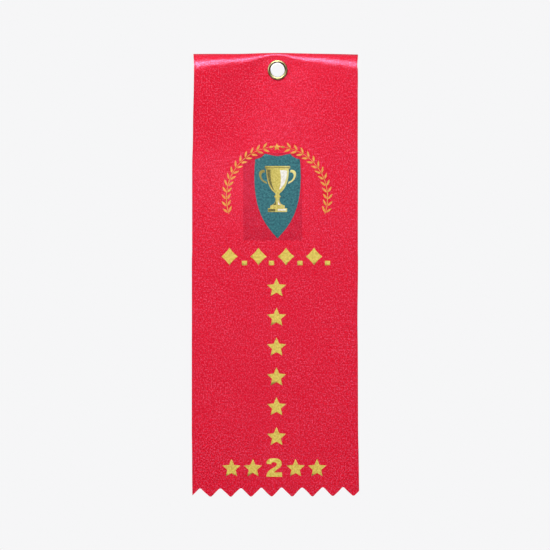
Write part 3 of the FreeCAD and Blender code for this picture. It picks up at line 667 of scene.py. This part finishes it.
def ink(name, colour, deep, pale, strike=0.22):
    """Ink on the weave: it thins over the threads, so a little red shows through, and the weave's relief stays."""
    k = Nodes(name)
    height, x, y = weave(k)
    grain = k.noise(k.strip(), 1.7, 3.0, 0.6)
    thin = k.noise(k.strip(stretch=(1.0, 0.6, 1.0)), 3.4, 3.0, 0.65)
    made = k.mix(k.span(grain, 0.35, 0.65, 0.0, 1.0), deep, pale)
    made = k.mix(0.20, made, colour)
    made = k.mix(k.span(thin, 0.56, 0.74, 0.0, strike), made, srgb(214, 60, 62))
    # painted shade: the ink is darkened where the weave dips, in the hollows between threads
    made = k.mix(k.span(height, -0.45, 0.10, 0.20, 0.0), made, tuple(c * 0.6 for c in deep[:3]) + (1,))
    bumped = k.math("ADD", height, k.math("MULTIPLY", grain, 0.8))
    return k, made, k.bump(bumped, 0.5, 0.00003)


def plain_ink(name, colour, deep, pale, strike=0.22, rough=0.5):
    k, made, normal = ink(name, colour, deep, pale, strike)
    return k.finish(Base_Color=made, Roughness=rough, Normal=normal, Specular_IOR_Level=0.35)


def cup_ink():
    """The cup's print has soft painted shading: pale where its left side catches light, olive round its right side."""
    k, made, normal = ink("ink_cup_painted", srgb(196, 180, 84), srgb(168, 150, 58), srgb(212, 198, 112), 0.08)
    x, y, _ = k.split(k.strip())
    low, high = mm_box("print_cup")
    cx, w = (low[0] + high[0]) / 2 - X0, (high[0] - low[0]) / 2
    around = k.math("DIVIDE", k.math("SUBTRACT", x, cx), w)
    rough = k.noise(k.strip(stretch=(1.0, 0.5, 1.0)), 1.1, 3.0)
    around = k.math("ADD", around, k.math("MULTIPLY", k.math("SUBTRACT", rough, 0.5), 0.5))
    made = k.mix(k.span(around, 0.05, 0.75, 0.0, 0.75, "SMOOTHSTEP"), made, srgb(226, 214, 140))
    made = k.mix(k.span(around, -0.15, -0.85, 0.0, 0.75, "SMOOTHSTEP"), made, srgb(120, 108, 50))
    return k.finish(Base_Color=made, Roughness=0.5, Normal=normal, Specular_IOR_Level=0.35)


def brass():
    """Lacquered brass sheet: a little uneven, with painted shade: dark maroon where the top of the roll turns into the
    bore, and dark olive along the lower outer rim.
    """
    k = Nodes("brass_sheet")
    where = k.node("ShaderNodeTexCoord").outputs["Object"]
    x, _, z = k.split(where)
    radius = k.math("SQRT", k.math("ADD", k.math("MULTIPLY", x, x), k.math("MULTIPLY", z, z)))
    tarnish = k.noise(where, 900.0, 3.0, 0.6)
    fine = k.noise(where, 5200.0, 2.0)
    scratches = k.noise(k.node("ShaderNodeMapping", Vector=where, Scale=(1.0, 9.0, 1.0)).outputs[0], 2600.0, 3.0, 0.7)
    colour = k.mix(k.span(tarnish, 0.35, 0.70, 0.0, 1.0), srgb(214, 208, 150), srgb(150, 148, 84))
    shade_radius = k.math("ADD", radius, k.math("MULTIPLY", k.math("SUBTRACT", tarnish, 0.5), 0.0003))
    # painted shade: the upper half of the roll's inner side, where it turns into the bore, is coloured dark maroon
    inner = k.math("MULTIPLY", k.span(shade_radius, 0.00270, 0.00250, 0.0, 0.97, "SMOOTHSTEP"), k.span(z, -0.0012, 0.0003, 0.0, 1.0))
    colour = k.mix(inner, colour, srgb(70, 20, 8))
    # painted shade: the lower half of the outer rim is coloured dark olive
    edge = k.math("MULTIPLY", k.span(shade_radius, 0.00280, 0.00298, 0.0, 0.92), k.span(z, 0.0006, -0.0014, 0.0, 1.0))
    colour = k.mix(edge, colour, srgb(56, 46, 14))
    colour = k.mix(k.span(scratches, 0.62, 0.75, 0.0, 0.4), colour, srgb(232, 226, 184))
    rough = k.span(tarnish, 0.3, 0.7, 0.24, 0.33)
    normal = k.bump(fine, 0.3, 0.000003)
    return k.finish(Base_Color=colour, Metallic=1.0, Roughness=rough, Normal=normal, Coat_Weight=0.5, Coat_Roughness=0.16,
                    Coat_IOR=1.5)


satin_face, satin_back, satin_edge = satin("satin_face"), satin("satin_back", False), cut_edge()
INKS = {
    "ink_gold": plain_ink("ink_gold_thin", srgb(216, 154, 58), srgb(208, 118, 50), srgb(224, 182, 80), 0.45),
    "ink_yellow": plain_ink("ink_yellow_screen", srgb(213, 190, 79), srgb(190, 160, 60), srgb(230, 210, 104), 0.22),
    "ink_teal": plain_ink("ink_teal_transfer", srgb(19, 94, 104), srgb(4, 68, 82), srgb(58, 126, 132), 0.05),
    "ink_cream": plain_ink("ink_cream_transfer", srgb(226, 222, 214), srgb(208, 200, 190), srgb(236, 234, 230), 0.05),
    "ink_olive": plain_ink("ink_olive_transfer", srgb(104, 98, 50), srgb(78, 76, 44), srgb(128, 118, 62), 0.05),
}
for o in (ribbon_upper, ribbon_lower):
    for m in (satin_face, satin_back, satin_edge):
        o.data.materials.append(m)
for node, (slot_name, _) in {**UPPER_PRINTS, **LOWER_PRINTS}.items():
    prints[node].data.materials.append(cup_ink() if node == "print_cup" else INKS[slot_name])
brass_eyelet.data.materials.append(brass())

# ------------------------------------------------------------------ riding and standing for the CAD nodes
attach(brass_eyelet, "head")
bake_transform(ribbon_upper)
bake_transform(ribbon_lower)
for node in UPPER_PRINTS:
    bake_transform(prints[node])
for node in LOWER_PRINTS:
    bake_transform(prints[node])
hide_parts("eyelet")
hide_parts("ribbon_head", "ribbon_panel")
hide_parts("ribbon_tail")
for node, piece in prints.items():
    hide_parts(node)

# ------------------------------------------------------------------ stage, light and camera
scene = bpy.context.scene
scene.view_settings.view_transform = "Standard"
scene.view_settings.look = "None"

world = bpy.data.worlds.new("studio")
scene.world = world
world.use_nodes = True
tree = world.node_tree
tree.nodes.clear()
out = tree.nodes.new("ShaderNodeOutputWorld")
pick = tree.nodes.new("ShaderNodeMixShader")
path = tree.nodes.new("ShaderNodeLightPath")
seen = tree.nodes.new("ShaderNodeBackground")
seen.inputs[0].default_value = srgb(246, 246, 247)
lit = tree.nodes.new("ShaderNodeBackground")
where = tree.nodes.new("ShaderNodeTexCoord")
axes = tree.nodes.new("ShaderNodeSeparateXYZ")
ramp = tree.nodes.new("ShaderNodeMapRange")
ramp.interpolation_type = "SMOOTHSTEP"
for i, v in enumerate((-0.75, 0.85, 0.22, 0.80)):
    ramp.inputs[i + 1].default_value = v
tree.links.new(where.outputs["Generated"], axes.inputs[0])
tree.links.new(axes.outputs[2], ramp.inputs[0])
# a darker patch straight in front, where the camera and its surround would stand in a studio
patch = tree.nodes.new("ShaderNodeMapRange")
patch.interpolation_type = "SMOOTHSTEP"
for i, v in enumerate((-0.70, -0.97, 1.0, 0.35)):
    patch.inputs[i + 1].default_value = v
shaded = tree.nodes.new("ShaderNodeMath")
shaded.operation = "MULTIPLY"
tree.links.new(axes.outputs[1], patch.inputs[0])
tree.links.new(ramp.outputs[0], shaded.inputs[0])
tree.links.new(patch.outputs[0], shaded.inputs[1])
tree.links.new(shaded.outputs[0], lit.inputs[0])
lit.inputs[1].default_value = 0.29
tree.links.new(path.outputs["Is Camera Ray"], pick.inputs[0])
tree.links.new(lit.outputs[0], pick.inputs[1])
tree.links.new(seen.outputs[0], pick.inputs[2])
tree.links.new(pick.outputs[0], out.inputs["Surface"])


def softbox(name, at, aim, size, power, colour=(1.0, 1.0, 1.0)):
    data = bpy.data.lights.new(name, "AREA")
    data.shape = "RECTANGLE"
    data.size, data.size_y = size
    data.energy = power
    data.color = colour
    made = bpy.data.objects.new(name, data)
    scene.collection.objects.link(made)
    made.location = at
    made.rotation_mode = "QUATERNION"
    made.rotation_quaternion = (Vector(aim) - Vector(at)).to_track_quat("-Z", "Y")
    return made


middle = Vector((X0 * MM, 0, (TIP + head_high[2]) / 2 * MM))
softbox("key", (-0.050, -0.485, 0.352), (X0 * MM, 0, -0.03), (0.45, 0.26), 4.55)
softbox("side_card", (-0.62, -0.36, 0.16), middle, (0.30, 0.45), 1.3)
softbox("fill", (0.45, -0.80, 0.05), middle, (0.5, 0.5), 0.25)
softbox("back", (0.22, 0.85, -0.17), middle, (0.6, 0.4), 5.6)

floor_mesh = bpy.data.meshes.new("floor")
floor_mesh.from_pydata([(-3, -3, 0), (3, -3, 0), (3, 3, 0), (-3, 3, 0)], [], [(0, 1, 2, 3)])
floor = new_object("floor", floor_mesh)
floor.location = (0, 0, -0.62)
pale = Nodes("pale_floor")
pale.finish(Base_Color=srgb(240, 240, 241), Roughness=0.7)
# the floor is washed with light of its own, which the camera sees and the object doesn't
wash = pale.tree.nodes.new("ShaderNodeEmission")
wash.inputs[0].default_value = srgb(240, 240, 241)
ray = pale.tree.nodes.new("ShaderNodeLightPath")
level = pale.tree.nodes.new("ShaderNodeMath")
level.operation = "MULTIPLY"
level.inputs[1].default_value = 0.62
both = pale.tree.nodes.new("ShaderNodeAddShader")
pale.tree.links.new(ray.outputs["Is Camera Ray"], level.inputs[0])
pale.tree.links.new(level.outputs[0], wash.inputs[1])
pale.tree.links.new(pale.shader.outputs[0], both.inputs[0])
pale.tree.links.new(wash.outputs[0], both.inputs[1])
pale.tree.links.new(both.outputs[0], pale.out.inputs["Surface"])
floor_mesh.materials.append(pale.material)

camera_data = bpy.data.cameras.new("camera")
camera = bpy.data.objects.new("camera", camera_data)
scene.collection.objects.link(camera)
FRAME_MM = 550 * 0.3062
DISTANCE = 1.3
camera_data.sensor_width = 36.0
camera_data.lens = 36.0 * DISTANCE / (FRAME_MM * MM)
camera_data.clip_start, camera_data.clip_end = 0.05, 20.0
camera.location = (-0.796 * MM, -DISTANCE, -62.77 * MM)
camera.rotation_euler = (math.radians(90), 0, 0)
scene.camera = camera
